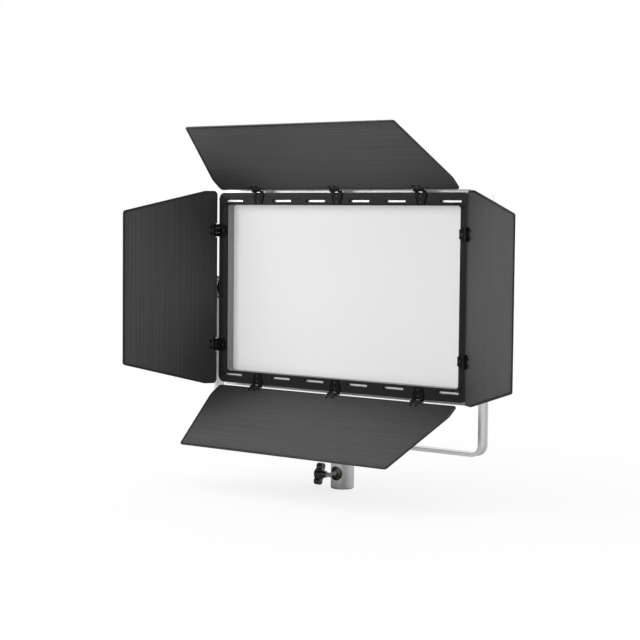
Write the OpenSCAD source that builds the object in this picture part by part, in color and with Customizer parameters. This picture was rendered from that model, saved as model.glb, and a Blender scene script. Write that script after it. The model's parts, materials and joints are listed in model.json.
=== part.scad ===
// Studio LED panel light with four barn doors, on a tilting yoke with a stand socket.
// Origin: centre of the stand socket's mouth. +Z is up the stand, the light faces -Y.
// Head parts are drawn about the tilt axis, then lifted to it.

/* [Panel] */
// Width of the front bezel
face_w = 376; // [340:2:420]
// Height of the front bezel
face_h = 242; // [220:2:280]
// Width of the bezel band at the left and right
side_band = 12.8; // [11:0.2:16]
// Width of the bezel band at the top and bottom
top_band = 15.4; // [15:0.2:20]
// Corner radius of the bezel
face_r = 8.5; // [6:0.5:14]
// Thickness of the bezel's front plate
plate_t = 3.4; // [3:0.2:5]
// Depth of the bezel, front to back
bezel_d = 10; // [9:0.5:12]
// How far the silver frame stands out around the bezel
frame_lip = 4; // [3:0.5:8]
// Depth of the silver frame behind the bezel
frame_d = 38; // [38:1:60]
// Wall of the silver frame and the back cover
wall = 2; // [1.6:0.2:2.4]
// Depth of the back cover
cover_d = 8; // [7:1:16]
// Distance from the bezel face back to the tilt axis
face_ahead = 17; // [14:1:24]

/* [Light engine] */
// Depth of the white lamp well in front of the diffuser
well_d = 11.6; // [8:0.4:14]
// Diffuser thickness
diffuser_t = 2; // [1.5:0.5:3]
// Depth of the mixing box between diffuser and LED board
box_d = 18; // [12:1:24]
// LEDs in a row
led_cols = 14; // [8:1:20]
// Rows of LEDs
led_rows = 8; // [4:1:12]
// Heat sink fins on each side of the driver
fin_count = 9; // [5:1:11]

/* [Barn doors] */
// Thickness of a door leaf
leaf_t = 2; // [1.5:0.1:2]
// Top door opening from closed, degrees
top_open = 127; // [0:1:180]
// Bottom door opening from closed, degrees
bottom_open = 121; // [0:1:180]
// Left door opening from closed, degrees
left_open = 122; // [0:1:180]
// Right door opening from closed, degrees
right_open = 146; // [0:1:180]
// Hinge-side half width of the top and bottom doors
flap_root = 185.4; // [170:0.2:186]
// Outer-edge half width of the top and bottom doors
flap_tip = 153.6; // [140:0.2:170]
// Length of the side doors
wing_len = 123.4; // [100:0.2:130]
// Outer-edge half height of the side doors
wing_tip = 96.8; // [90:0.2:110]
// Distance of the outer top and bottom hinges from the middle
flap_hinge_x = 122.2; // [110:0.2:130]
// Distance of the side hinges from the middle
wing_hinge_z = 73; // [60:1:80]

/* [Yoke] */
// Height of the tilt axis above the socket's mouth
tilt_z = 241; // [236:1:300]
// Width of the yoke bar
bar_w = 15; // [14:1:24]
// Thickness of the yoke bar
bar_t = 4.5; // [4:0.5:6]
// Gap between the silver frame and the yoke arms
arm_gap = 6.5; // [6:0.5:12]
// Inner radius of the yoke's bends
bend_r = 9.5; // [6:0.5:20]

/* [Stand socket] */
// Outer diameter of the stand socket
socket_d = 28.5; // [26:0.5:34]
// Height of the stand socket
socket_h = 57.5; // [56:0.5:70]
// Bore for a 16 mm stand spigot
spigot_bore = 16.2; // [16.1:0.1:16.3]
// Depth of the spigot bore
spigot_depth = 48; // [46:1:50]
// Height of the clamp screw above the mouth
clamp_z = 14; // [12:1:18]
// Height of the cross hole above the mouth
window_z = 19.5; // [18:0.5:20]
// Diameter of the cross hole
window_d = 17.2; // [16:0.2:18]

/* [Controls] */
// Width of the control housing on the back
pod_w = 150; // [140:5:180]
// Height of the control housing
pod_h = 84; // [80:2:100]
// Depth of the control housing
pod_d = 20; // [19:1:26]
// Diameter of the two control knobs
dial_d = 22; // [18:1:26]

/* [Hidden] */
$fn = 64;
eps = 0.01;
face_y = -face_ahead;
open_w = face_w - 2*side_band;
open_h = face_h - 2*top_band;
open_r = 4;
well_y = face_y + plate_t;
diffuser_y = well_y + well_d;
box_y = diffuser_y + diffuser_t;
board_y = box_y + box_d;
pcb_t = 1.6;
sink_y = board_y + pcb_t;
sink_t = 3;
frame_y = face_y + bezel_d;
cover_y = frame_y + frame_d;
back_y = cover_y + cover_d;
floor_y = back_y - wall;
pod_y = back_y + pod_d;
frame_w = face_w + 2*frame_lip;
frame_h = face_h + 2*frame_lip;
frame_r = face_r + frame_lip;
well_w = open_w + 4;
well_h = open_h + 4;
seat_w = open_w + 10.6;
seat_h = open_h + 10.6;
engine_w = seat_w + 4;
engine_h = seat_h + 4;
flange_w = well_w + 1;
flange_h = well_h + 1;
// Slope down to the lamp well on the bezel's side bands
slope_w = 5.6;
slope_drop = 2;
// Slots through the bezel
slot_len = 29;
slot_h = 2.5;
slot_x = [33.1, 85.7, 163];
slot_z = open_h/2 + 5.1;
// Case screws, M3
screw_r = 1.5;
pilot_r = 1.52;
clear_r = 1.7;
boss_r = 4.8;
boss_tail_r = 4.2;
boss_corner = 8.1;
boss_z = frame_h/2 - 6.6;
boss_mid = 92;
bezel_boss_x = [59.4, 124.4];
bezel_boss_z = face_h/2 - 6;
// Hinges: local X runs along the axis, Y from the axis across the door, Z forwards when closed
flap_axis_up = 3.4;
wing_axis_in = 0.4;
axis_out = 3.9;
knuckle_r = 2.6;
pin_r = 1.2;
pin_bore = 1.25;
inner_half = 2.9;
outer_half = 8;
flap_start = 1.6;
wing_start = -0.6;
notch_half = 8.6;
flap_notch = 3.8;
wing_notch = 3.7;
flap_low = -1.8;
wing_low = 0.9;
strap_t = 1;
strap_half = 6;
rivet_r = 1.5;
flap_len = face_h/2 + flap_axis_up - flap_start - 0.7;
wing_root = face_h/2 + 2.2;
wing_virtual = face_h/2 + 6.2;
flap_hinges = [-flap_hinge_x, 0, flap_hinge_x];
wing_hinges = [-wing_hinge_z, wing_hinge_z];
// Tilt locks
arm_x = frame_w/2 + arm_gap;
tilt_r = 3;
tilt_bore = 3.05;
knob_x = arm_x + bar_t + 1.7;
insert_in = seat_w/2 + 0.5;
insert_y = [frame_y + wall + 0.1, 12];
// Socket clamp and the bolt above it
bolt_r = 4;
bolt_bore = 4.05;
spigot_r = spigot_bore/2;
thread_r = 3;
thread_bore = 3.05;
pad_x = -spigot_r - 0.2;
socket_r = socket_d/2;
wing_x = -35.4;
// Rear controls
dial_x = 52;
dial_z = 14;
shaft_r = 3;
shaft_bore = 3.05;
panel_pcb_y = pod_y - 10;
window_w = 50;
window_h = 28;
button_x = [-12, 12];
button_z = -24;
rocker_x = -52;
rocker_z = -20;
rocker_tilt = 8;
rocker_in = 1.5;
rocker_pin = 1.2;
inlet_x = 52;
inlet_z = -22;

// ---- Shape helpers ----

// Rectangle with round corners, centred
module round_rect(w, h, r) {
    square([w - 2*r, h], center = true);
    square([w, h - 2*r], center = true);
    for (x = [-1, 1], z = [-1, 1])
        translate([x*(w/2 - r), z*(h/2 - r)]) circle(r);
}

// Solid from y0 back to y1 with an outline drawn in X and Z
module deep(y0, y1) {
    translate([0, y1, 0]) rotate([90, 0, 0]) linear_extrude(y1 - y0) children();
}

// Rectangular ring from y0 to y1
module ring(y0, y1, w, h, r, in_w, in_h, in_r) {
    deep(y0, y1) difference() {
        round_rect(w, h, r);
        round_rect(in_w, in_h, in_r);
    }
}

// Round bar along Y from y0 to y1
module bar_y(y0, y1, r) {
    translate([0, y1, 0]) rotate([90, 0, 0]) cylinder(r = r, h = y1 - y0);
}

// Round bar along X from x0 to x1
module bar_x(x0, x1, r) {
    translate([x0, 0, 0]) rotate([0, 90, 0]) cylinder(r = r, h = x1 - x0);
}

// Points of the round at corner b of the outline a, b, c
function unit(v) = v/norm(v);
function corner(a, b, c, r) = let (
        u = unit(a - b),
        v = unit(c - b),
        half = acos(u*v)/2,
        mid = b + unit(u + v)*r/sin(half),
        p = b + u*r/tan(half) - mid,
        q = b + v*r/tan(half) - mid,
        turn = 180 - 2*half,
        way = sign(p.x*q.y - p.y*q.x),
        steps = ceil(turn/9))
    [for (i = [0 : steps]) let (t = way*turn*i/steps)
        mid + [p.x*cos(t) - p.y*sin(t), p.x*sin(t) + p.y*cos(t)]];

// Outline with each corner rounded to its own radius
module rounded(pts, radii) {
    n = len(pts);
    polygon([for (i = [0 : n - 1])
        for (p = corner(pts[(i + n - 1) % n], pts[i], pts[(i + 1) % n], radii[i])) p]);
}

// Everything that tilts sits about the tilt axis
module head() {
    translate([0, 0, tilt_z]) children();
}

// Hinge frame of one edge: X along the axis, Y from the axis across the door,
// Z forwards when the door is closed; open turns it about the axis
module edge_frame(side, open = 0) {
    if (side == "top")
        translate([0, face_y - axis_out, face_h/2 + flap_axis_up])
            rotate([-open, 0, 0]) rotate([-90, 0, 180]) children();
    if (side == "bottom") mirror([0, 0, 1]) edge_frame("top", open) children();
    if (side == "right")
        translate([face_w/2 - wing_axis_in, face_y - axis_out, 0])
            rotate([0, 0, open]) rotate([90, -90, 0]) children();
    if (side == "left") mirror([1, 0, 0]) edge_frame("right", open) children();
}

// Solid along local X between a and b, from an outline drawn in local Y and Z
module along_x(a, b) {
    translate([a, 0, 0]) rotate([90, 0, 90]) linear_extrude(b - a) children();
}

// Screw with a pan head at y0 and its shank running towards -Y or +Y
module pan_screw(head_r, head_t, r, len) {
    rotate([90, 0, 0]) {
        translate([0, 0, -head_t]) cylinder(r = head_r, h = head_t);
        cylinder(r = r, h = len);
    }
}

// ---- Yoke ----

module u_outline(grow) {
    half = arm_x + grow;
    low = socket_h + bar_t - grow;
    r = bend_r + grow;
    translate([-half, low + r]) square([2*half, tilt_z + bar_w - low - r]);
    translate([-half + r, low]) square([2*(half - r), 2*r]);
    for (x = [-1, 1]) translate([x*(half - r), low + r]) circle(r);
}

module yoke_bar() {
    groove = 0.8;
    groove_w = 8;
    color("silver") difference() {
        intersection() {
            deep(-bar_w/2, bar_w/2) difference() {
                u_outline(bar_t);
                u_outline(0);
            }
            rotate([90, 0, 90]) linear_extrude(4*arm_x, center = true) {
                translate([-bar_w/2, 0]) square([bar_w, tilt_z]);
                translate([0, tilt_z]) circle(bar_w/2);
            }
        }
        difference() {
            deep(-groove_w/2, groove_w/2) difference() {
                u_outline(bar_t + 1);
                u_outline(bar_t - groove);
            }
            translate([-socket_r - 2, -bar_w, 0]) cube([2*socket_r + 4, 2*bar_w, 2*socket_h]);
            translate([-2*arm_x, -bar_w, tilt_z - 14]) cube([4*arm_x, 2*bar_w, 60]);
        }
        cylinder(r = bolt_r + 0.3, h = 2*socket_h);
        translate([0, 0, tilt_z]) bar_x(-2*arm_x, 2*arm_x, tilt_bore);
    }
}

module stand_socket() {
    color("gainsboro") difference() {
        union() {
            translate([0, 0, 1]) cylinder(r = socket_r, h = socket_h - 2);
            cylinder(r1 = socket_r - 1, r2 = socket_r, h = 1);
            translate([0, 0, socket_h - 1]) cylinder(r1 = socket_r, r2 = socket_r - 1, h = 1);
        }
        translate([0, 0, -1]) cylinder(r = spigot_r, h = spigot_depth + 1);
        translate([0, 0, spigot_depth + 3]) cylinder(r = bolt_bore, h = socket_h);
        translate([0, 0, window_z]) bar_y(-2*socket_r, -2, window_d/2);
        translate([0, 0, clamp_z]) bar_x(-2*socket_r, 0, thread_bore);
    }
}

module socket_washer() {
    color("silver") translate([0, 0, socket_h + bar_t]) difference() {
        cylinder(r = 9, h = 1.6);
        translate([0, 0, -1]) cylinder(r = 4.2, h = 4);
    }
}

module socket_bolt() {
    top = socket_h + bar_t + 1.6;
    color("dimgray") difference() {
        union() {
            translate([0, 0, top]) cylinder(r = 6.5, h = 4);
            translate([0, 0, spigot_depth + 4]) cylinder(r = bolt_r, h = top - spigot_depth - 4);
        }
        translate([0, 0, top + 1.5]) cylinder(r = 2.9, h = 4, $fn = 6);
    }
}

module tilt_washers() {
    color("silver") head() for (s = [0, 1]) mirror([s, 0, 0]) difference() {
        bar_x(arm_x + bar_t, arm_x + bar_t + 1.5, 8.5);
        bar_x(arm_x, knob_x, tilt_r + 0.2);
    }
}

// ---- Socket clamp ----

module clamp_pad() {
    color("goldenrod") translate([0, 0, clamp_z]) bar_x(pad_x - 2, pad_x, thread_r - 0.2);
}

module clamp_screw() {
    color("silver") translate([0, 0, clamp_z]) bar_x(wing_x, pad_x - 2.05, thread_r);
}

// Two lobes on a round hub, with a skirt that tapers to the screw
module wing_knob() {
    hub_r = 5.8;
    hub_l = 10;
    skirt_l = 6;
    lobe = 9.4;
    lobe_r = 4.4;
    lean = 17;
    color("#1c1c1c") translate([wing_x, 0, clamp_z]) rotate([-lean, 0, 0]) difference() {
        union() {
            bar_x(-hub_l/2, hub_l/2, hub_r);
            translate([hub_l/2, 0, 0]) rotate([0, 90, 0])
                cylinder(r1 = 5.4, r2 = 3.6, h = skirt_l);
            for (s = [-1, 1]) {
                translate([0, 0, s*lobe]) bar_x(-hub_l/2 + 0.8, hub_l/2 - 0.8, lobe_r);
                translate([-hub_l/2 + 0.8, -3.6, s*lobe/2 - 4]) cube([hub_l - 1.6, 7.2, 8]);
            }
        }
        bar_x(-1, 2*hub_l, thread_r + 0.02);
    }
}

// ---- Case ----

module front_bezel() {
    color("#262626") head() difference() {
        union() {
            ring(face_y, well_y, face_w, face_h, face_r, open_w, open_h, open_r);
            ring(well_y - eps, frame_y, face_w, face_h, face_r,
                face_w - 5, face_h - 5, face_r - 2.5);
            for (x = bezel_boss_x, s = [-1, 1], z = [-1, 1])
                translate([s*x, 0, z*bezel_boss_z]) bar_y(well_y - eps, frame_y, 3.2);
        }
        for (x = slot_x, s = [-1, 1], z = [-1, 1])
            translate([s*x, 0, z*slot_z]) deep(face_y - 1, frame_y + 1)
                round_rect(slot_len, slot_h, 1.2);
        for (x = bezel_boss_x, s = [-1, 1], z = [-1, 1])
            translate([s*x, 0, z*bezel_boss_z]) bar_y(well_y + 0.6, frame_y + 1, pilot_r);
        bracket_holes();
        intersection() {
            deep(face_y - 1, well_y) round_rect(open_w + 2*slope_w, open_h + 3.6, 5.5);
            for (s = [0, 1]) mirror([s, 0, 0]) translate([0, 0, -open_h])
                linear_extrude(2*open_h) polygon([
                    [open_w/2 - 5, face_y - 2], [open_w/2 + slope_w + 1, face_y - 2],
                    [open_w/2 + slope_w, face_y], [open_w/2, face_y + slope_drop],
                    [open_w/2 - 5, face_y + slope_drop]]);
        }
    }
}

module side_frame() {
    color("silver") head() difference() {
        union() {
            ring(frame_y, cover_y, frame_w, frame_h, frame_r,
                frame_w - 2*wall, frame_h - 2*wall, frame_r - wall);
            ring(frame_y, frame_y + wall, frame_w, frame_h, frame_r, flange_w, flange_h, open_r);
            for (x = slot_x, s = [-1, 1], z = [-1, 1])
                translate([s*x, 0, z*slot_z]) deep(well_y + 0.1, frame_y + 1)
                    round_rect(slot_len + 2, 5, 1);
            case_screw_places() {
                bar_y(frame_y + wall - eps, cover_y, boss_r);
                bar_y(cover_y - 1, floor_y - 0.1, boss_tail_r);
            }
        }
        case_screw_places() bar_y(floor_y - 14, floor_y + 1, pilot_r);
        for (x = bezel_boss_x, s = [-1, 1], z = [-1, 1])
            translate([s*x, 0, z*bezel_boss_z]) bar_y(frame_y - 1, frame_y + wall + 1, clear_r);
        bar_x(-frame_w, frame_w, tilt_r + 0.4);
    }
}

// Corner and mid-edge screws that close the case
module case_screw_places() {
    for (z = [-1, 1]) {
        for (s = [-1, 1])
            translate([s*(frame_w/2 - boss_corner), 0, z*(frame_h/2 - boss_corner)]) children();
        for (x = [-boss_mid, 0, boss_mid]) translate([x, 0, z*boss_z]) children();
    }
}

module back_cover() {
    vent_n = 9;
    vent_pitch = 9;
    color("silver") head() difference() {
        union() {
            ring(cover_y, back_y, frame_w, frame_h, frame_r,
                frame_w - 2*wall, frame_h - 2*wall, frame_r - wall);
            deep(floor_y, back_y) round_rect(frame_w, frame_h, frame_r);
            for (s = [-1, 1], z = [-1, 1])
                translate([s*78, 0, z*88]) bar_y(sink_y + sink_t, floor_y + eps, 4);
        }
        case_screw_places() bar_y(floor_y - 1, back_y + 1, clear_r);
        pod_screw_places() bar_y(floor_y - 1, back_y + 1, clear_r);
        deep(floor_y - 1, back_y + 1) round_rect(pod_w - 50, pod_h - 30, 4);
        for (s = [-1, 1], z = [-1, 1], i = [0 : vent_n - 1])
            translate([s*(100 + i*vent_pitch), 0, z*42]) deep(floor_y - 1, back_y + 1)
                round_rect(3.2, 62, 1.55);
    }
}

module bezel_screws() {
    color("dimgray") head()
        for (x = bezel_boss_x, s = [-1, 1], z = [-1, 1])
            translate([s*x, frame_y + wall, z*bezel_boss_z])
                pan_screw(2.7, 1.8, screw_r, wall + bezel_d - plate_t - 1.2);
}

module cover_screws() {
    color("dimgray") head() case_screw_places()
        translate([0, back_y, 0]) pan_screw(2.8, 1.8, screw_r, 12);
}

// ---- Light engine ----

module reflector_frame() {
    color("white") head() difference() {
        union() {
            ring(well_y, diffuser_y, well_w, well_h, open_r + 2, open_w, open_h, open_r);
            ring(frame_y + wall + 0.1, box_y - 0.1, seat_w, seat_h, open_r + 5,
                open_w, open_h, open_r);
        }
        deep(diffuser_y, box_y) round_rect(open_w + 7, open_h + 7, open_r + 3);
    }
}

module diffuser() {
    color("white") head() deep(diffuser_y, box_y - 0.1)
        round_rect(open_w + 6.6, open_h + 6.6, open_r + 2.8);
}

// Screws from the heat sink through the LED board into the mixing box
module engine_screw_places() {
    for (z = [-1, 1], x = [-1, 0, 1])
        translate([x*(seat_w/2 - 6), 0, z*(seat_h/2 - 6)]) children();
}

module light_box() {
    color("whitesmoke") head() difference() {
        union() {
            ring(box_y, board_y, seat_w, seat_h, open_r + 5,
                seat_w - 4, seat_h - 4, open_r + 3);
            engine_screw_places() bar_y(box_y + 4, board_y, 4.2);
        }
        engine_screw_places() bar_y(box_y + 6, board_y + 1, pilot_r);
    }
}

module led_board() {
    color("white") head() difference() {
        deep(board_y, sink_y) round_rect(engine_w, engine_h, 3);
        engine_screw_places() bar_y(board_y - 1, sink_y + 1, clear_r);
    }
}

module led_chips() {
    pitch_x = open_w/led_cols;
    pitch_z = open_h/led_rows;
    color("khaki") head()
        for (i = [0 : led_cols - 1], j = [0 : led_rows - 1])
            translate([(i - (led_cols - 1)/2)*pitch_x, board_y - 0.4, (j - (led_rows - 1)/2)*pitch_z])
                cube([3.5, 0.8, 2.8], center = true);
}

module heat_sink() {
    fin_pitch = 8;
    fin_x = 88;
    fin_top = floor_y - 3;
    color("lightgray") head() difference() {
        union() {
            deep(sink_y, sink_y + sink_t) round_rect(engine_w, engine_h, 3);
            for (s = [-1, 1], i = [0 : fin_count - 1])
                translate([s*(fin_x + i*fin_pitch) - 0.8, sink_y + sink_t - eps, -92])
                    cube([1.6, fin_top - sink_y - sink_t, 184]);
        }
        engine_screw_places() bar_y(sink_y - 1, sink_y + sink_t + 1, clear_r);
    }
}

module board_screws() {
    color("dimgray") head() engine_screw_places()
        translate([0, sink_y + sink_t, 0]) pan_screw(2.7, 1.8, screw_r, 14);
}

// ---- Driver ----

driver_w = 112;
driver_h = 150;
driver_y = sink_y + sink_t + 4;

module standoff_places() {
    for (s = [-1, 1], z = [-1, 1])
        translate([s*(driver_w/2 - 5), 0, z*(driver_h/2 - 5)]) children();
}

module board_standoffs() {
    color("goldenrod") head() standoff_places()
        translate([0, driver_y, 0]) rotate([90, 0, 0])
            cylinder(r = 3, h = driver_y - sink_y - sink_t, $fn = 6);
}

module driver_board() {
    color("darkgreen") head() deep(driver_y, driver_y + pcb_t)
        round_rect(driver_w, driver_h, 2);
}

module driver_parts() {
    top = driver_y + pcb_t;
    color("#303030") head() {
        for (x = [-38, -14]) translate([x, 0, 50]) bar_y(top, top + 6, 7);
        translate([12, top, 40]) cube([24, 5.5, 20]);
        translate([-44, top, -8]) cube([30, 4, 30]);
        translate([8, top, -6]) cube([36, 5, 24]);
        for (z = [-60 : 14 : -32]) translate([-40, top, z]) cube([20, 3, 8]);
        for (x = [0 : 14 : 28]) translate([x, top, -56]) cube([9, 3.5, 16]);
    }
}

module wiring() {
    wire_r = 1;
    top = driver_y + pcb_t + wire_r;
    color("firebrick") head() for (z = [66, 60]) translate([0, top, z]) {
        bar_x(-58, -20, wire_r);
        translate([-20, 0, 0]) sphere(wire_r);
        translate([-58, 0, 0]) sphere(wire_r);
        translate([-58, 0, 0]) bar_y(sink_y + sink_t + 0.2 - top, 0, wire_r);
    }
}

// ---- Tilt hardware ----

module tilt_inserts() {
    color("silver") head() for (s = [0, 1]) mirror([s, 0, 0]) difference() {
        translate([insert_in, insert_y[0], -11])
            cube([frame_w/2 - wall - insert_in, insert_y[1] - insert_y[0], 22]);
        bar_x(0, frame_w, tilt_bore);
    }
}

module tilt_spacers() {
    color("#202020") head() for (s = [0, 1]) mirror([s, 0, 0]) difference() {
        bar_x(frame_w/2, arm_x - 0.05, 15);
        bar_x(0, frame_w, tilt_r + 0.3);
    }
}

module tilt_stud(side) {
    color("silver") head() mirror([side, 0, 0]) bar_x(insert_in + 1, knob_x + 12, tilt_r);
}

module tilt_knob(side) {
    lobe_n = 6;
    knob_r = 15;
    color("#1c1c1c") head() mirror([side, 0, 0]) difference() {
        union() {
            bar_x(knob_x, knob_x + 4, 9);
            bar_x(knob_x + 4, knob_x + 17, knob_r);
            bar_x(knob_x + 17 - eps, knob_x + 18.5, knob_r - 3);
        }
        bar_x(knob_x - 1, knob_x + 12, tilt_r + 0.02);
        for (i = [0 : lobe_n - 1]) rotate([i*360/lobe_n, 0, 0])
            translate([0, 0, knob_r + 3.6]) bar_x(knob_x + 3, knob_x + 20, 6);
    }
}

module tilt_stud_right() { tilt_stud(0); }
module tilt_stud_left() { tilt_stud(1); }
module tilt_knob_right() { tilt_knob(0); }
module tilt_knob_left() { tilt_knob(1); }

// ---- Hinges ----

// One fixed bracket at local x = 0: ears round the pin, a foot on the bezel and two ribs
module bracket(reach) {
    face = -axis_out;
    foot_t = 0.6;
    rib_t = 0.9;
    rib_h = 1.3;
    tip_half = 4.6;
    difference() {
        union() {
            for (s = [0, 1]) mirror([s, 0, 0]) along_x(inner_half + 0.2, outer_half) {
                circle(knuckle_r);
                polygon([[3.5, face], [8, face], [8, face + rib_h], [3.5, face + rib_h],
                    [1.8, 1.8], [-1.2, -2.3]]);
            }
            translate([0, 0, face]) linear_extrude(foot_t)
                polygon([[-outer_half, 3.5], [outer_half, 3.5], [outer_half, 8],
                    [tip_half, reach], [-tip_half, reach], [-outer_half, 8]]);
            for (s = [0, 1]) mirror([s, 0, 0]) translate([0, 0, face]) linear_extrude(rib_h)
                polygon([[outer_half, 7.9], [tip_half, reach], [tip_half - rib_t, reach],
                    [outer_half - rib_t, 7.9]]);
        }
        bar_x(-outer_half - 1, outer_half + 1, pin_r + 0.02);
        bracket_screw_places(reach) translate([0, 0, face - 1]) cylinder(r = 1.1, h = 3);
    }
}

// A long bracket has two screws, a short one has one
module bracket_screw_places(reach) {
    for (y = reach > 15 ? [7.5, reach - 3.4] : [8.4]) translate([0, y, 0]) children();
}

flap_reach = flap_axis_up + top_band - 0.4;
wing_reach = side_band - wing_axis_in - 0.4;

module each_flap_hinge() {
    for (side = ["top", "bottom"]) edge_frame(side)
        for (x = flap_hinges) translate([x, 0, 0]) children();
}

module each_wing_hinge() {
    for (side = ["left", "right"]) edge_frame(side)
        for (x = wing_hinges) translate([x, 0, 0]) children();
}

module hinge_brackets() {
    color("#141414") head() {
        each_flap_hinge() bracket(flap_reach);
        each_wing_hinge() bracket(wing_reach);
    }
}

module bracket_holes() {
    depth = 2.4;
    each_flap_hinge() bracket_screw_places(flap_reach)
        translate([0, 0, -axis_out - depth]) cylinder(r = 1.02, h = depth + 1);
    each_wing_hinge() bracket_screw_places(wing_reach)
        translate([0, 0, -axis_out - depth]) cylinder(r = 1.02, h = depth + 1);
}

module bracket_screw() {
    translate([0, 0, -axis_out + 0.6]) cylinder(r = 1.7, h = 0.6);
    translate([0, 0, -axis_out - 2]) cylinder(r = 1, h = 2.7);
}

module bracket_screws() {
    color("#303030") head() {
        each_flap_hinge() bracket_screw_places(flap_reach) bracket_screw();
        each_wing_hinge() bracket_screw_places(wing_reach) bracket_screw();
    }
}

module hinge_pins() {
    color("silver") head() {
        each_flap_hinge() bar_x(-outer_half, outer_half, pin_r);
        each_wing_hinge() bar_x(-outer_half, outer_half, pin_r);
    }
}

// ---- Doors ----

// Door plate with hinge notches and rivet holes; low is its near face when closed
module leaf(outline_pts, radii, low, hinges, notch) {
    difference() {
        translate([0, 0, low]) linear_extrude(leaf_t) difference() {
            rounded(outline_pts, radii);
            for (x = hinges) translate([x - notch_half, notch - 8]) square([2*notch_half, 8]);
        }
        rivet_places(hinges) translate([0, 0, low - 1]) cylinder(r = rivet_r + 0.02, h = leaf_t + 2);
    }
}

module rivet_places(hinges) {
    for (x = hinges, s = [-1, 1]) translate([x + s*4, 7.4, 0]) children();
}

// Moving knuckles and the straps riveted to the outer face of the door
module straps(low, hinges) {
    top = low + leaf_t;
    reach = 10.6;
    difference() {
        for (x = hinges) translate([x, 0, 0]) {
            along_x(-inner_half, inner_half) {
                circle(knuckle_r);
                polygon([[0, -1], [3.4, max(top - 1.8, -1)], [3.4, top + strap_t], [0, top + strap_t]]);
            }
            translate([-strap_half, 3.9, top]) cube([2*strap_half, reach - 3.9, strap_t]);
            translate([-inner_half, 3.3, top]) cube([2*inner_half, 1, strap_t]);
            if (top > knuckle_r) translate([-notch_half - 1, 1, top])
                cube([2*notch_half + 2, 3.6, strap_t]);
        }
        for (x = hinges) translate([x, 0, 0]) bar_x(-outer_half, outer_half, pin_bore);
        rivet_places(hinges) translate([0, 0, top - 1]) cylinder(r = rivet_r + 0.02, h = strap_t + 2);
    }
}

module rivets(low, hinges) {
    top = low + leaf_t + strap_t;
    rivet_places(hinges) {
        translate([0, 0, low]) cylinder(r = rivet_r, h = top - low);
        translate([0, 0, top]) cylinder(r1 = 2.2, r2 = 1.4, h = 0.6);
        translate([0, 0, low - 0.5]) cylinder(r1 = 1.3, r2 = 1.9, h = 0.5);
    }
}

// Trapezoid of a top or bottom door, narrower again right at the hinge
module flap_leaf() {
    t0 = flap_start;
    t1 = flap_start + flap_len;
    ease = 20;
    at_ease = flap_root - (flap_root - flap_tip)*ease/flap_len;
    right = [[flap_root - 6, t0], [at_ease, t0 + ease], [flap_tip, t1]];
    leaf(concat(right, [for (i = [2 : -1 : 0]) [-right[i].x, right[i].y]]),
        [4, 30, 4, 4, 30, 4], flap_low, flap_hinges, flap_notch);
}

// Side door: a straight run beside the hinge, then a taper to the outer edge
module wing_leaf() {
    t0 = wing_start;
    t1 = wing_start + wing_len;
    straight = (wing_virtual - wing_root)/(wing_virtual - wing_tip)*wing_len;
    right = [[wing_root, t0], [wing_root, t0 + straight], [wing_tip, t1]];
    leaf(concat(right, [for (i = [2 : -1 : 0]) [-right[i].x, right[i].y]]),
        [5, 12, 4, 4, 12, 5], wing_low, wing_hinges, wing_notch);
}

module top_leaf() {
    color("#3c3c3c") head() edge_frame("top", top_open) flap_leaf();
}

module bottom_leaf() {
    color("#3c3c3c") head() edge_frame("bottom", bottom_open) flap_leaf();
}

module left_leaf() {
    color("#363636") head() edge_frame("left", left_open) wing_leaf();
}

module right_leaf() {
    color("#4a4a4a") head() edge_frame("right", right_open) wing_leaf();
}

module top_straps() {
    color("#141414") head() edge_frame("top", top_open) straps(flap_low, flap_hinges);
}

module bottom_straps() {
    color("#141414") head() edge_frame("bottom", bottom_open) straps(flap_low, flap_hinges);
}

module left_straps() {
    color("#141414") head() edge_frame("left", left_open) straps(wing_low, wing_hinges);
}

module right_straps() {
    color("#141414") head() edge_frame("right", right_open) straps(wing_low, wing_hinges);
}

module top_rivets() {
    color("#202020") head() edge_frame("top", top_open) rivets(flap_low, flap_hinges);
}

module bottom_rivets() {
    color("#202020") head() edge_frame("bottom", bottom_open) rivets(flap_low, flap_hinges);
}

module left_rivets() {
    color("#202020") head() edge_frame("left", left_open) rivets(wing_low, wing_hinges);
}

module right_rivets() {
    color("#202020") head() edge_frame("right", right_open) rivets(wing_low, wing_hinges);
}

// ---- Rear controls ----

module pod_screw_places() {
    for (s = [-1, 1], z = [-1, 1])
        translate([s*(pod_w/2 - 8), 0, z*(pod_h/2 - 8)]) children();
}

module control_housing() {
    color("#242424") head() difference() {
        union() {
            difference() {
                deep(back_y, pod_y) round_rect(pod_w, pod_h, 8);
                deep(back_y - 1, pod_y - 2) round_rect(pod_w - 4, pod_h - 4, 6);
            }
            pod_screw_places() bar_y(back_y, pod_y - 1, 4.4);
        }
        pod_screw_places() bar_y(back_y - 1, pod_y - 4, pilot_r);
        for (s = [-1, 1]) translate([s*dial_x, 0, dial_z]) bar_y(pod_y - 3, pod_y + 1, 3.8);
        for (x = button_x) translate([x, 0, button_z]) bar_y(pod_y - 3, pod_y + 1, 4.6);
        translate([0, 0, dial_z]) {
            deep(pod_y - 3, pod_y + 1) round_rect(window_w - 4, window_h - 4, 1.5);
            deep(pod_y - 1.2, pod_y + 1) round_rect(window_w + 0.2, window_h + 0.2, 2);
        }
        translate([rocker_x, 0, rocker_z]) deep(pod_y - 3, pod_y + 1) square([19.2, 13.2], center = true);
        translate([inlet_x, 0, inlet_z]) bar_y(pod_y - 3, pod_y + 1, 6.1);
    }
}

module pod_screws() {
    color("dimgray") head() pod_screw_places()
        translate([0, floor_y, 0]) rotate([0, 0, 180]) pan_screw(2.7, 1.8, screw_r, 14);
}

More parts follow.
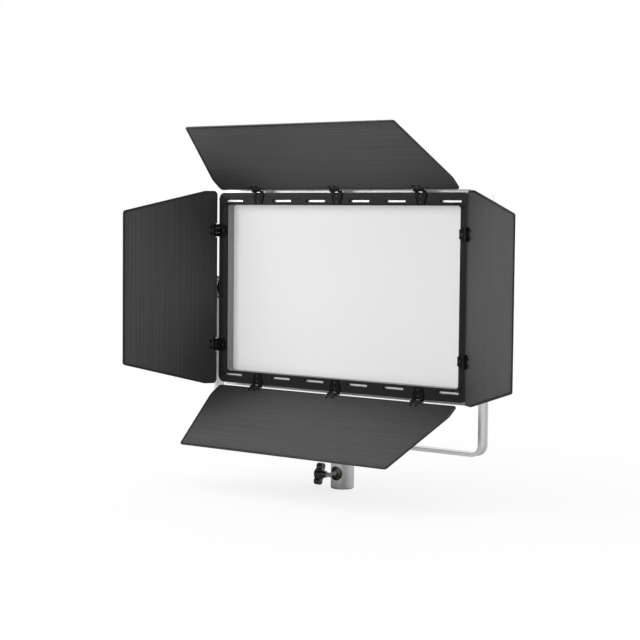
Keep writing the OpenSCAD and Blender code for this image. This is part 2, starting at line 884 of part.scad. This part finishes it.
module control_board() {
    back = panel_pcb_y - pcb_t;
    color("darkgreen") head() difference() {
        union() {
            deep(back, panel_pcb_y) round_rect(pod_w - 10, pod_h - 10, 3);
            translate([0, 0, dial_z]) deep(panel_pcb_y - eps, pod_y - 3)
                square([window_w + 6, window_h + 6], center = true);
            for (x = button_x) translate([x, 0, button_z])
                deep(panel_pcb_y - eps, pod_y - 6) square([6, 6], center = true);
        }
        pod_screw_places() bar_y(back - 1, panel_pcb_y + 1, 4.9);
    }
}

module display_window() {
    color("#0a1420") head() translate([0, 0, dial_z])
        deep(pod_y - 1.2, pod_y + 0.2) round_rect(window_w, window_h, 1.9);
}

module encoder_bodies() {
    color("silver") head() for (s = [-1, 1]) translate([s*dial_x, 0, dial_z]) difference() {
        union() {
            deep(panel_pcb_y, pod_y - 3) square([12, 12], center = true);
            bar_y(pod_y - 3.5, pod_y + 1, 3.7);
        }
        bar_y(pod_y - 7, pod_y + 2, shaft_bore);
    }
}

module dial_shaft(side) {
    color("silver") head() translate([side*dial_x, 0, dial_z]) bar_y(pod_y - 6.9, pod_y + 10, shaft_r);
}

module dial_knob(side) {
    rib_n = 24;
    r = dial_d/2;
    color("#1a1a1a") head() translate([side*dial_x, 0, dial_z]) difference() {
        union() {
            bar_y(pod_y + 1.3, pod_y + 3, r + 0.6);
            bar_y(pod_y + 3, pod_y + 12, r);
            bar_y(pod_y + 12 - eps, pod_y + 13, r - 1);
        }
        bar_y(pod_y + 1, pod_y + 10, shaft_r + 0.02);
        bar_y(pod_y, pod_y + 2.4, 4.6);
        for (i = [0 : rib_n - 1]) rotate([0, i*360/rib_n, 0])
            translate([0, 0, r + 0.5]) bar_y(pod_y + 3.4, pod_y + 14, 1);
        translate([-0.5, pod_y + 12.4, 2]) cube([1, 1, r]);
    }
}

module brightness_knob() { dial_knob(-1); }
module brightness_shaft() { dial_shaft(-1); }
module colour_knob() { dial_knob(1); }
module colour_shaft() { dial_shaft(1); }

module button(i) {
    color("#d0d0d0") head() translate([button_x[i], 0, button_z]) {
        bar_y(pod_y - 3.6, pod_y - 2.2, 5.6);
        bar_y(pod_y - 2.3, pod_y + 1.6, 4.4);
        bar_y(pod_y - 4.8, pod_y - 3.5, 2);
    }
}

module menu_button() { button(0); }
module mode_button() { button(1); }

module rocker_housing() {
    color("#161616") head() translate([rocker_x, 0, rocker_z]) difference() {
        union() {
            deep(pod_y - 8, pod_y + 0.2) square([19, 13], center = true);
            deep(pod_y, pod_y + 1.2) round_rect(22, 16, 1.5);
        }
        deep(pod_y - 6.5, pod_y + 2) square([16, 10.4], center = true);
        translate([0, pod_y - rocker_in, 0]) bar_x(-12, 12, rocker_pin + 0.05);
    }
}

// Rocker turning about its own X axis, one end pressed in
module power_rocker() {
    half = 4.5;
    color("#8c1c1c") head() translate([rocker_x, pod_y - rocker_in, rocker_z])
        rotate([rocker_tilt, 0, 0]) {
            along_x(-7.8, 7.8)
                polygon([[-4, -half], [4, -half], [2.6, 0], [4, half], [-4, half]]);
            bar_x(-9.3, 9.3, rocker_pin);
        }
}

module power_inlet() {
    color("#303030") head() translate([inlet_x, 0, inlet_z]) {
        difference() {
            union() {
                bar_y(pod_y - 9.5, pod_y + 0.5, 6);
                bar_y(pod_y, pod_y + 1.5, 8);
            }
            bar_y(pod_y - 8, pod_y + 2, 3.2);
        }
        bar_y(pod_y - 8.5, pod_y - 0.5, 1);
    }
}

yoke_bar();
stand_socket();
socket_bolt();
socket_washer();
tilt_washers();
clamp_pad();
clamp_screw();
wing_knob();
side_frame();
front_bezel();
back_cover();
reflector_frame();
diffuser();
light_box();
led_board();
led_chips();
heat_sink();
driver_board();
driver_parts();
board_standoffs();
board_screws();
wiring();
bezel_screws();
cover_screws();
tilt_inserts();
tilt_spacers();
hinge_brackets();
bracket_screws();
hinge_pins();
control_housing();
pod_screws();
control_board();
display_window();
encoder_bodies();
rocker_housing();
power_inlet();
top_leaf();
top_straps();
top_rivets();
bottom_leaf();
bottom_straps();
bottom_rivets();
left_leaf();
left_straps();
left_rivets();
right_leaf();
right_straps();
right_rivets();
tilt_knob_left();
tilt_stud_left();
tilt_knob_right();
tilt_stud_right();
brightness_knob();
brightness_shaft();
colour_knob();
colour_shaft();
menu_button();
mode_button();
power_rocker();
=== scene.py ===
import bmesh
import bpy
import json
import math
from mathutils import Matrix, Vector

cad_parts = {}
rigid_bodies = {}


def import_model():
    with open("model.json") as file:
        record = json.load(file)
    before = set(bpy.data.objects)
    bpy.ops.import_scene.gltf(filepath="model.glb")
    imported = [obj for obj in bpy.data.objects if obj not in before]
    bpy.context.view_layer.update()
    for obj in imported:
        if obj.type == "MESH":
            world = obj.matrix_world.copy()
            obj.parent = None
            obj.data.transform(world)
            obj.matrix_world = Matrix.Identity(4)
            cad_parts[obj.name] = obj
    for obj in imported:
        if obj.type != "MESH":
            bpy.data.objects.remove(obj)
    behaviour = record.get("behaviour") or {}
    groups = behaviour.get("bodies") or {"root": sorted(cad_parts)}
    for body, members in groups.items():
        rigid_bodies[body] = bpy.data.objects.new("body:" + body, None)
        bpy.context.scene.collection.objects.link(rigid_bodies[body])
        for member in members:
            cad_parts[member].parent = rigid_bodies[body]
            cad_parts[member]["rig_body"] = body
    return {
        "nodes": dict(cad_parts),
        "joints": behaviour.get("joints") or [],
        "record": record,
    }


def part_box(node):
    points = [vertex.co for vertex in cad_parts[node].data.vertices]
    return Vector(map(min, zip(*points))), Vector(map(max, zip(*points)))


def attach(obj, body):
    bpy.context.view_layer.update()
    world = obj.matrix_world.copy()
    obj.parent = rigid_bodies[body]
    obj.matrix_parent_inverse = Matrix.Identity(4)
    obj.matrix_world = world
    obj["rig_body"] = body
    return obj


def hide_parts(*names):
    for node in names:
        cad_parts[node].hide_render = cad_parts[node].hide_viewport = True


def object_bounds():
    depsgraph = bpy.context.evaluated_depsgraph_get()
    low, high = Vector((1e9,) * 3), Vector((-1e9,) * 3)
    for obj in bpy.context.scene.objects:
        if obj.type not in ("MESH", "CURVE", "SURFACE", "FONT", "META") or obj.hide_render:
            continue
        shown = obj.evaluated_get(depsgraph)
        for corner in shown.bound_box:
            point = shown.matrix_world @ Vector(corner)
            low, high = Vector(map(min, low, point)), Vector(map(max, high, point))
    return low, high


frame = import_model()
cad_lo, cad_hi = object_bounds()

MM = 0.001
nodes = frame["nodes"]
joints = {j["name"]: j for j in frame["joints"]}
body_of_node = {n: o["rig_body"] for n, o in nodes.items()}
slot_of_node = {s["node"]: s["material_slot"] for s in frame["record"]["subparts"]}


# ---------------------------------------------------------------- shader graph helpers

def new_material(name):
    """A fresh node material and its Principled shader."""
    mat = bpy.data.materials.new(name)
    mat.use_nodes = True
    tree = mat.node_tree
    shader = next(n for n in tree.nodes if n.type == "BSDF_PRINCIPLED")
    return mat, tree, shader


def put(tree, socket, value):
    """Feeds a socket with another socket or with a plain value."""
    if isinstance(value, bpy.types.NodeSocket):
        tree.links.new(value, socket)
    elif isinstance(value, (tuple, list)) and len(value) == 3 and socket.type == "RGBA":
        socket.default_value = (*value, 1.0)
    else:
        socket.default_value = value


def coordinates(tree, kind="Object", scale=(1, 1, 1), turn=(0, 0, 0)):
    """Texture coordinates in metres, turned and then scaled."""
    source = tree.nodes.new("ShaderNodeTexCoord").outputs[kind]
    mapping = tree.nodes.new("ShaderNodeMapping")
    mapping.vector_type = "TEXTURE"
    mapping.inputs["Rotation"].default_value = turn
    put(tree, mapping.inputs["Vector"], source)
    scaling = tree.nodes.new("ShaderNodeVectorMath")
    scaling.operation = "MULTIPLY"
    put(tree, scaling.inputs[0], mapping.outputs["Vector"])
    scaling.inputs[1].default_value = scale
    return scaling.outputs[0]


def noise(tree, vector, scale=1.0, detail=3.0, roughness=0.55):
    """A noise value from 0 to 1, centred on a half."""
    node = tree.nodes.new("ShaderNodeTexNoise")
    put(tree, node.inputs["Vector"], vector)
    node.inputs["Scale"].default_value = scale
    node.inputs["Detail"].default_value = detail
    node.inputs["Roughness"].default_value = roughness
    return node.outputs["Fac"]


def remap(tree, value, low, high, from_low=0.25, from_high=0.75):
    """Spreads a value over the range from low to high."""
    node = tree.nodes.new("ShaderNodeMapRange")
    put(tree, node.inputs["Value"], value)
    node.inputs["From Min"].default_value = from_low
    node.inputs["From Max"].default_value = from_high
    node.inputs["To Min"].default_value = low
    node.inputs["To Max"].default_value = high
    return node.outputs["Result"]


def maths(tree, operation, a, b):
    node = tree.nodes.new("ShaderNodeMath")
    node.operation = operation
    put(tree, node.inputs[0], a)
    put(tree, node.inputs[1], b)
    return node.outputs[0]


def mix(tree, share, a, b):
    """Colour a where share is 0, colour b where it is 1."""
    node = tree.nodes.new("ShaderNodeMix")
    node.data_type = "RGBA"
    put(tree, node.inputs["Factor"], share)
    put(tree, node.inputs[6], a)
    put(tree, node.inputs[7], b)
    return node.outputs[2]


def bump(tree, shader, height, depth, normal=None):
    """Raises the surface by up to depth metres times the height value."""
    node = tree.nodes.new("ShaderNodeBump")
    node.inputs["Strength"].default_value = 1.0
    node.inputs["Distance"].default_value = depth
    put(tree, node.inputs["Height"], height)
    if normal is not None:
        put(tree, node.inputs["Normal"], normal)
    put(tree, shader.inputs["Normal"], node.outputs["Normal"])


def round_edges(tree, radius):
    """A normal that softens sharp edges over a small radius."""
    node = tree.nodes.new("ShaderNodeBevel")
    node.samples = 4
    node.inputs["Radius"].default_value = radius
    return node.outputs["Normal"]


def edge_wear(tree, low=0.515, high=0.56):
    """1 on worn convex edges, 0 elsewhere."""
    geometry = tree.nodes.new("ShaderNodeNewGeometry")
    spots = noise(tree, coordinates(tree), scale=240, detail=4)
    edge = remap(tree, geometry.outputs["Pointiness"], 0, 1, low, high)
    return maths(tree, "MULTIPLY", edge, remap(tree, spots, 0, 1, 0.45, 0.62))


def painted_occlusion_shade(tree, reach, low, high, from_low, from_high):
    """Mask for painted shade: from low in corners and holes to high on open faces."""
    node = tree.nodes.new("ShaderNodeAmbientOcclusion")
    node.samples = 8
    node.inputs["Distance"].default_value = reach
    return remap(tree, node.outputs["AO"], low, high, from_low, from_high)


def shade(colour, factor):
    return tuple(c*factor for c in colour)


# ---------------------------------------------------------------- materials

def plastic(name, colour, roughness=0.45, grain=1.0, wear=0.25, edge=0.25*MM, sheen=0.5):
    """Moulded plastic: spark-eroded grain, uneven sheen, lighter rubbed edges."""
    mat, tree, shader = new_material(name)
    place = coordinates(tree)
    cloud = noise(tree, place, scale=22, detail=4)
    tint = mix(tree, remap(tree, cloud, 0, 1), shade(colour, 0.88), shade(colour, 1.12))
    rubbed = maths(tree, "MULTIPLY", edge_wear(tree), wear)
    put(tree, shader.inputs["Base Color"], mix(tree, rubbed, tint, shade(colour, 3.0)))
    patches = noise(tree, place, scale=60, detail=3)
    put(tree, shader.inputs["Roughness"], remap(tree, patches, roughness - 0.06, roughness + 0.06))
    shader.inputs["Specular IOR Level"].default_value = sheen
    pits = noise(tree, place, scale=2600, detail=2)
    bump(tree, shader, pits, 0.02*MM*grain, round_edges(tree, edge))
    return mat


def brushed(name, colour, roughness, along, metallic=1.0, coords="Object", contrast=0.1,
            corners=None, sheen=0.5, wear=0.35):
    """Brushed metal: fine parallel scratches along the given axes, with patches and bright edges; with
    corners given, painted shade darkens its corners and grooves.
    """
    mat, tree, shader = new_material(name)
    fine = tuple(6 if i in along else 2400 for i in range(3))
    coarse = tuple(1.5 if i in along else 420 for i in range(3))
    scratches = noise(tree, coordinates(tree, coords, fine), detail=2)
    bands = noise(tree, coordinates(tree, coords, coarse), detail=3)
    both = maths(tree, "ADD", maths(tree, "MULTIPLY", scratches, 0.5), maths(tree, "MULTIPLY", bands, 0.5))
    patches = noise(tree, coordinates(tree), scale=9, detail=4)
    streak = remap(tree, both, 0, 1, 0.35, 0.65)
    tint = mix(tree, streak, shade(colour, 1 - contrast), shade(colour, 1 + contrast))
    dull = mix(tree, remap(tree, patches, 0, 0.25), tint, shade(colour, 0.8))
    # painted shade: with corners given, corners and grooves within reach are darkened towards 0.3 of the
    # colour
    if corners:
        reach, closed, clear = corners
        dull = mix(tree, painted_occlusion_shade(tree, reach, 0, 1, closed, clear), shade(colour, 0.3), dull)
    worn = maths(tree, "MULTIPLY", edge_wear(tree), wear)
    put(tree, shader.inputs["Base Color"], mix(tree, worn, dull, shade(colour, 1.5)))
    shader.inputs["Metallic"].default_value = metallic
    shader.inputs["Specular IOR Level"].default_value = sheen
    put(tree, shader.inputs["Roughness"], remap(tree, both, roughness - 0.07, roughness + 0.07, 0.35, 0.65))
    bump(tree, shader, both, 0.012*MM, round_edges(tree, 0.3*MM))
    return mat


def turned(name, colour, roughness, axis=2):
    """Metal turned on a lathe: fine grooves round one axis, with painted shade darkening its bores and
    corners almost to black.
    """
    mat, tree, shader = new_material(name)
    fine = tuple(3200 if i == axis else 2 for i in range(3))
    grooves = noise(tree, coordinates(tree, scale=fine), detail=2)
    smear = noise(tree, coordinates(tree), scale=70, detail=5)
    tint = mix(tree, remap(tree, grooves, 0, 1), shade(colour, 0.86), shade(colour, 1.08))
    worn = mix(tree, remap(tree, smear, 0, 0.3), tint, shade(colour, 0.7))
    # painted shade: bores and inside corners darkened almost to black
    bore_painted_shade = painted_occlusion_shade(tree, 12*MM, 0.12, 1, 0.1, 0.4)
    put(tree, shader.inputs["Base Color"], mix(tree, bore_painted_shade, shade(colour, 0.05), worn))
    shader.inputs["Metallic"].default_value = 1.0
    put(tree, shader.inputs["Roughness"], remap(tree, smear, roughness - 0.05, roughness + 0.09))
    bump(tree, shader, grooves, 0.01*MM, round_edges(tree, 0.3*MM))
    return mat


def board(name, colour):
    """Printed circuit board: solder mask with copper tracks showing faintly under it."""
    mat, tree, shader = new_material(name)
    tracks = tree.nodes.new("ShaderNodeTexBrick")
    put(tree, tracks.inputs["Vector"], coordinates(tree, scale=(90, 90, 90), turn=(math.radians(90), 0, 0)))
    tracks.inputs["Mortar Size"].default_value = 0.03
    put(tree, tracks.inputs["Color1"], colour)
    put(tree, tracks.inputs["Color2"], shade(colour, 0.85))
    put(tree, tracks.inputs["Mortar"], shade(colour, 1.5))
    cloud = noise(tree, coordinates(tree), scale=45, detail=3)
    faded = mix(tree, remap(tree, cloud, 0, 0.4), tracks.outputs["Color"], shade(colour, 0.7))
    put(tree, shader.inputs["Base Color"], faded)
    put(tree, shader.inputs["Roughness"], remap(tree, cloud, 0.25, 0.4))
    bump(tree, shader, tracks.outputs["Fac"], 0.03*MM)
    return mat


def opal(name, colour, glow):
    """Opal diffuser sheet: fine prismatic texture and a soft even painted glow that stands in for light
    falling on the sheet.
    """
    mat, tree, shader = new_material(name)
    ripple = noise(tree, coordinates(tree, scale=(120, 1, 900)), detail=2)
    cloud = noise(tree, coordinates(tree), scale=7, detail=2)
    tint = mix(tree, remap(tree, cloud, 0, 1), shade(colour, 0.985), colour)
    ribs = mix(tree, remap(tree, ripple, 0, 0.5), tint, shade(colour, 0.97))
    put(tree, shader.inputs["Base Color"], ribs)
    # painted glow: the sheet emits its own tint, standing in for light falling on it
    put(tree, shader.inputs["Emission Color"], tint)
    shader.inputs["Emission Strength"].default_value = glow
    put(tree, shader.inputs["Roughness"], remap(tree, ripple, 0.5, 0.65))
    bump(tree, shader, ripple, 0.015*MM)
    return mat


def dark_glass(name, colour):
    """Display window: dark tinted glass with light smears."""
    mat, tree, shader = new_material(name)
    smear = noise(tree, coordinates(tree, scale=(1, 1, 3)), scale=50, detail=5)
    put(tree, shader.inputs["Base Color"], mix(tree, remap(tree, smear, 0, 1), colour, shade(colour, 1.6)))
    put(tree, shader.inputs["Roughness"], remap(tree, smear, 0.05, 0.16))
    shader.inputs["Coat Weight"].default_value = 0.6
    bump(tree, shader, smear, 0.004*MM, round_edges(tree, 0.2*MM))
    return mat


ALONG_X, ALONG_Y, ALONG_Z = 0, 1, 2
ROUND_THE_RING = (ALONG_X, ALONG_Z)
SILVER = (0.78, 0.78, 0.79)
SATIN = (0.9, 0.9, 0.905)

materials = {
    "brushed_aluminium": brushed("brushed_aluminium", SILVER, 0.27, (ALONG_X,)),
    "frame_brushed": brushed("frame_brushed", SATIN, 0.3, ROUND_THE_RING, metallic=0.7, contrast=0.08,
                             wear=0.05),
    # yoke_brushed: painted shade darkens the yoke bar's groove edges and inside corners
    "yoke_brushed": brushed("yoke_brushed", shade(SATIN, 0.9), 0.3, ROUND_THE_RING, metallic=0.75,
                            contrast=0.08, corners=(2.5*MM, 0.35, 0.75), wear=0.05),
    "turned_steel": turned("turned_steel", (0.72, 0.72, 0.725), 0.33),
    "zinc_screw": turned("zinc_screw", (0.04, 0.04, 0.041), 0.42, ALONG_Y),
    "brass": turned("brass", (0.66, 0.48, 0.2), 0.3, ALONG_X),
    # black_door: painted shade darkens each leaf towards its hinge, where the lamp's body closes in
    "black_door": brushed("black_door", (0.088, 0.088, 0.089), 0.45, (ALONG_X,), metallic=0.0,
                          coords="UV", contrast=0.35, corners=(130*MM, 0.76, 0.98), sheen=0.12),
    "black_hinge": plastic("black_hinge", (0.0028, 0.0028, 0.0028), 0.33, grain=0.4, wear=0.3, sheen=0.12),
    "black_bezel": plastic("black_bezel", (0.0105, 0.0105, 0.0108), 0.36, wear=0.1, sheen=0.16),
    "black_knob": plastic("black_knob", (0.013, 0.013, 0.013), 0.2, grain=0.3, wear=0.5, sheen=1.0),
    "pod_plastic": plastic("pod_plastic", (0.022, 0.022, 0.023), 0.5, grain=2.0),
    "white_plastic": plastic("white_plastic", (0.72, 0.72, 0.71), 0.5, grain=0.6, wear=0.0),
    # grey_plastic: painted shade, a mid grey given to the reflector wall, which is white
    "grey_plastic": plastic("grey_plastic", (0.3, 0.3, 0.3), 0.5, grain=0.6, wear=0.0),
    # diffuser_sheet: a painted glow of strength 0.2 stands in for light falling on the sheet
    "diffuser_sheet": opal("diffuser_sheet", (0.78, 0.78, 0.776), 0.2),
    "led_phosphor": plastic("led_phosphor", (0.75, 0.6, 0.15), 0.35, grain=0.5, wear=0.0),
    "board_green": board("board_green", (0.01, 0.09, 0.04)),
    "board_white": board("board_white", (0.75, 0.75, 0.73)),
    "component_black": plastic("component_black", (0.02, 0.02, 0.02), 0.3, grain=0.5),
    "cable_red": plastic("cable_red", (0.4, 0.02, 0.015), 0.5, grain=0.8),
    "display_glass": dark_glass("display_glass", (0.004, 0.007, 0.012)),
    "button_grey": plastic("button_grey", (0.35, 0.35, 0.36), 0.4, wear=0.1),
    "rocker_red": plastic("rocker_red", (0.3, 0.012, 0.01), 0.25, grain=0.3, wear=0.1),
}

for name, node in nodes.items():
    node.data.materials.clear()
    node.data.materials.append(materials[slot_of_node[name]])


# ---------------------------------------------------------------- mesh helpers

def piece_from(bm, name, node, material):
    """Turns a bmesh into a piece that stands for a CAD node and rides on its body."""
    mesh = bpy.data.meshes.new(name)
    bm.to_mesh(mesh)
    bm.free()
    piece = bpy.data.objects.new(name, mesh)
    bpy.context.scene.collection.objects.link(piece)
    mesh.materials.append(material)
    mesh.shade_smooth()
    mesh.set_sharp_from_angle(angle=math.radians(50))
    flat = piece.modifiers.new("flat_faces", "WEIGHTED_NORMAL")
    flat.mode = "FACE_AREA"
    flat.weight = 100
    flat.keep_sharp = True
    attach(piece, body_of_node[node])
    return piece


def clean_copy(node):
    """A bmesh of a CAD node with its flat faces merged."""
    bm = bmesh.new()
    bm.from_mesh(nodes[node].data)
    bmesh.ops.remove_doubles(bm, verts=bm.verts, dist=1e-6)
    bmesh.ops.dissolve_limit(bm, angle_limit=math.radians(0.6), verts=bm.verts, edges=bm.edges)
    return bm


def convex_copy(node):
    """A clean copy whose faces are all convex, so that holes in them survive a bevel."""
    bm = clean_copy(node)
    bmesh.ops.connect_verts_concave(bm, faces=bm.faces)
    return bm


def soften(node, radius, material):
    """A copy of a CAD node whose sharp edges are rounded, standing for that node."""
    bm = convex_copy(node)
    sharp = [e for e in bm.edges if e.is_manifold and e.calc_face_angle(0) > math.radians(30)]
    bmesh.ops.bevel(bm, geom=sharp, offset=radius, segments=2, profile=0.5,
                    affect="EDGES", clamp_overlap=False)
    bmesh.ops.remove_doubles(bm, verts=bm.verts, dist=1e-6)
    piece = piece_from(bm, node + "_finish", node, material)
    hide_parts(node)


# ---------------------------------------------------------------- barn doors

HEM_WIDTH = 1.9*MM
HEM_STEP = 0.28*MM
HEM_ROUND = 0.45*MM


def inner_loop(node, normal):
    """The outline of a leaf's face on the lamp's side, as points in order."""
    bm = clean_copy(node)
    flat = [f for f in bm.faces if f.normal.dot(normal) > 0.999]
    edges = [e for e in bm.edges if sum(f in flat for f in e.link_faces) == 1]
    loops = []
    left = set(edges)
    while left:
        edge = left.pop()
        loop = [edge.verts[0], edge.verts[1]]
        while True:
            step = next((e for e in loop[-1].link_edges if e in left), None)
            if step is None:
                break
            left.discard(step)
            loop.append(step.other_vert(loop[-1]))
        loops.append([v.co.copy() for v in loop[:-1]])
    bm.free()
    return max(loops, key=lambda loop: sum((a - b).length for a, b in zip(loop, loop[1:])))


def leaf_normal(node):
    """Unit normal of the leaf, towards the beam."""
    faces = sorted(nodes[node].data.polygons, key=lambda f: -f.area)
    normal = faces[0].normal.copy()
    lo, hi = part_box(node)
    front_lo, front_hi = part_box("diffuser")
    beam = (front_lo + front_hi)/2 + Vector((0, -0.1, 0))
    return normal if normal.dot(beam - (lo + hi)/2) > 0 else -normal


def door(side):
    """One door leaf: a brushed sheet inside a rolled black hem."""
    node = side + "_leaf"
    joint = joints[side + "_door_hinge"]
    axis = Vector(joint["axis"])
    normal = leaf_normal(node)
    across = normal.cross(axis)
    root = Vector(joint["pos_m"])
    corners = [v.co.dot(normal) for v in nodes[node].data.vertices]
    thickness = max(corners) - min(corners)
    bm = bmesh.new()
    face = bm.faces.new([bm.verts.new(p) for p in inner_loop(node, normal)])
    bm.normal_update()
    if face.normal.dot(normal) < 0:
        bmesh.ops.reverse_faces(bm, faces=[face])
    back = bmesh.ops.extrude_face_region(bm, geom=[face])
    moved = [v for v in back["geom"] if isinstance(v, bmesh.types.BMVert)]
    for v in bm.verts:
        if v not in moved:
            v.co -= normal*thickness
    bmesh.ops.recalc_face_normals(bm, faces=bm.faces)
    rim = [e for e in bm.edges if e.calc_face_angle(0) > math.radians(60)
           and any(abs(f.normal.dot(normal)) > 0.9 for f in e.link_faces)]
    bmesh.ops.bevel(bm, geom=rim, offset=HEM_ROUND, segments=3, profile=0.5, affect="EDGES",
                    clamp_overlap=False)
    bm.faces.ensure_lookup_table()
    for big in sorted(bm.faces, key=lambda f: -f.calc_area())[:2]:
        bmesh.ops.inset_region(bm, faces=[big], thickness=HEM_WIDTH, use_even_offset=True)
        bmesh.ops.inset_region(bm, faces=[big], thickness=HEM_STEP, depth=-HEM_STEP,
                               use_even_offset=True)
        big.material_index = 1
    bmesh.ops.connect_verts_concave(bm, faces=bm.faces)
    uv = bm.loops.layers.uv.new("door_uv")
    for f in bm.faces:
        for loop in f.loops:
            place = loop.vert.co - root
            loop[uv].uv = (place.dot(axis), place.dot(across))
    piece = piece_from(bm, side + "_door_sheet", node, materials["door_hem"])
    piece.data.materials.append(materials["black_door"])
    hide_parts(node)


materials["door_hem"] = plastic("door_hem", (0.01, 0.01, 0.01), 0.35, grain=0.3, wear=0.35)
for side in ("top", "bottom", "left", "right"):
    door(side)


# ---------------------------------------------------------------- softened parts

ROUNDING = {
    "front_bezel": 0.7, "side_frame": 0.6, "back_cover": 0.7, "reflector_frame": 0.3,
    "diffuser": 0.2, "yoke_bar": 0.35, "stand_socket": 0.3, "socket_washer": 0.2,
    "socket_bolt": 0.4, "tilt_washers": 0.2, "clamp_screw": 0.2, "wing_knob": 0.8,
    "tilt_spacers": 0.5, "tilt_knob_left": 0.9, "tilt_knob_right": 0.9,
    "hinge_brackets": 0.18, "hinge_pins": 0.15, "bracket_screws": 0.12,
    "top_straps": 0.15, "bottom_straps": 0.15, "left_straps": 0.15, "right_straps": 0.15,
    "control_housing": 1.0, "display_window": 0.25, "rocker_housing": 0.4,
    "power_rocker": 0.4, "power_inlet": 0.4, "cover_screws": 0.25,
    "brightness_knob": 0.25, "colour_knob": 0.25, "menu_button": 0.25, "mode_button": 0.25,
}
FINISH = {"side_frame": "frame_brushed", "yoke_bar": "yoke_brushed"}
for node, radius in ROUNDING.items():
    soften(node, radius*MM, material=materials[FINISH.get(node, slot_of_node[node])])


# ---------------------------------------------------------------- floor, light and camera

def floor():
    """A plain pale floor that fades into the white backdrop."""
    mesh = bpy.data.meshes.new("floor")
    bm = bmesh.new()
    bmesh.ops.create_circle(bm, cap_ends=True, segments=96, radius=6.0)
    bm.to_mesh(mesh)
    bm.free()
    obj = bpy.data.objects.new("floor", mesh)
    obj.location.z = cad_lo.z - 0.5*MM
    bpy.context.scene.collection.objects.link(obj)
    mat, tree, shader = new_material("floor_paint")
    cloud = noise(tree, coordinates(tree), scale=3, detail=3)
    seen = tree.nodes.new("ShaderNodeLightPath").outputs["Is Camera Ray"]
    pale = mix(tree, cloud, (0.86, 0.86, 0.86), (0.9, 0.9, 0.9))
    put(tree, shader.inputs["Base Color"], mix(tree, seen, (0.7, 0.7, 0.7), pale))
    shader.inputs["Roughness"].default_value = 0.9
    place = tree.nodes.new("ShaderNodeTexCoord")
    reach = tree.nodes.new("ShaderNodeVectorMath")
    reach.operation = "LENGTH"
    put(tree, reach.inputs[0], place.outputs["Object"])
    fade = remap(tree, reach.outputs["Value"], 0.8, 1.0, 0.0, 0.6)
    glow = tree.nodes.new("ShaderNodeEmission")
    blend = tree.nodes.new("ShaderNodeMixShader")
    put(tree, blend.inputs[0], maths(tree, "MULTIPLY", fade, seen))
    put(tree, blend.inputs[1], shader.outputs[0])
    put(tree, blend.inputs[2], glow.outputs[0])
    output = next(n for n in tree.nodes if n.type == "OUTPUT_MATERIAL")
    put(tree, output.inputs["Surface"], blend.outputs[0])
    mesh.materials.append(mat)


def lobe(tree, towards, strength, inner, outer):
    """A soft patch of light round one direction of the surroundings."""
    facing = tree.nodes.new("ShaderNodeVectorMath")
    facing.operation = "DOT_PRODUCT"
    put(tree, facing.inputs[0], tree.nodes.new("ShaderNodeTexCoord").outputs["Generated"])
    facing.inputs[1].default_value = Vector(towards).normalized()
    node = tree.nodes.new("ShaderNodeMapRange")
    node.interpolation_type = "SMOOTHSTEP"
    put(tree, node.inputs["Value"], facing.outputs["Value"])
    node.inputs["From Min"].default_value = math.cos(math.radians(outer))
    node.inputs["From Max"].default_value = math.cos(math.radians(inner))
    node.inputs["To Min"].default_value = 0.0
    node.inputs["To Max"].default_value = strength
    return node.outputs["Result"]


def backdrop():
    """White to the camera; as a light, a dim room with a white wall, ceiling and side panel."""
    world = bpy.data.worlds.new("backdrop")
    bpy.context.scene.world = world
    world.use_nodes = True
    tree = world.node_tree
    paint = next(n for n in tree.nodes if n.type == "BACKGROUND")
    paint.inputs["Color"].default_value = (1, 1, 1, 1)
    wall = lobe(tree, (0.2, 1, 0), 1.0, 30, 80)
    side = lobe(tree, (0.94, 0.34, 0.1), 0.45, 15, 50)
    ceiling = lobe(tree, (0, 0, 1), 0.5, 20, 70)
    room = maths(tree, "ADD", maths(tree, "ADD", wall, side), maths(tree, "ADD", ceiling, 0.18))
    rays = tree.nodes.new("ShaderNodeLightPath")
    seen = maths(tree, "MAXIMUM", rays.outputs["Is Camera Ray"], room)
    put(tree, paint.inputs["Strength"], seen)


def area_light(name, where, towards, size, power):
    data = bpy.data.lights.new(name, "AREA")
    data.shape = "RECTANGLE"
    data.size, data.size_y = size
    data.energy = power
    light = bpy.data.objects.new(name, data)
    light.location = where
    light.rotation_euler = (Vector(towards) - Vector(where)).to_track_quat("-Z", "Y").to_euler()
    bpy.context.scene.collection.objects.link(light)


def camera():
    """Eye level, from the right of the lamp, framed a little below its middle."""
    azimuth, drop, roll = math.radians(37.38), math.radians(3.6), math.radians(0.56)
    distance = 1.995
    lo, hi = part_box("front_bezel")
    aim = Vector(((lo.x + hi.x)/2 - 0.024, lo.y, (lo.z + hi.z)/2 - 0.0345))
    flat = math.cos(drop)
    forward = Vector((-math.sin(azimuth)*flat, math.cos(azimuth)*flat, -math.sin(drop)))
    level = Vector((math.cos(azimuth), math.sin(azimuth), 0))
    upright = level.cross(forward)
    right = level*math.cos(roll) + upright*math.sin(roll)
    up = upright*math.cos(roll) - level*math.sin(roll)
    data = bpy.data.cameras.new("camera")
    data.lens = 91.76
    data.sensor_width = 36
    data.clip_start = 0.01
    eye = bpy.data.objects.new("camera", data)
    eye.matrix_world = Matrix.Translation(aim - forward*distance) @ Matrix(
        [[right[i], up[i], -forward[i]] for i in range(3)]).to_4x4()
    bpy.context.scene.collection.objects.link(eye)
    bpy.context.scene.camera = eye


floor()
backdrop()
middle = (cad_lo + cad_hi)/2
area_light("key", middle + Vector((-0.82, -0.82, 0.42)), middle, (0.8, 0.55), 6.2)
area_light("fill", middle + Vector((0.15, -1.8, 0.4)), middle, (0.9, 0.9), 5)
area_light("overhead", middle + Vector((-0.6, -0.3, 1.1)), middle, (0.8, 0.8), 5.2)
camera()
bpy.context.scene.view_settings.view_transform = "Standard"
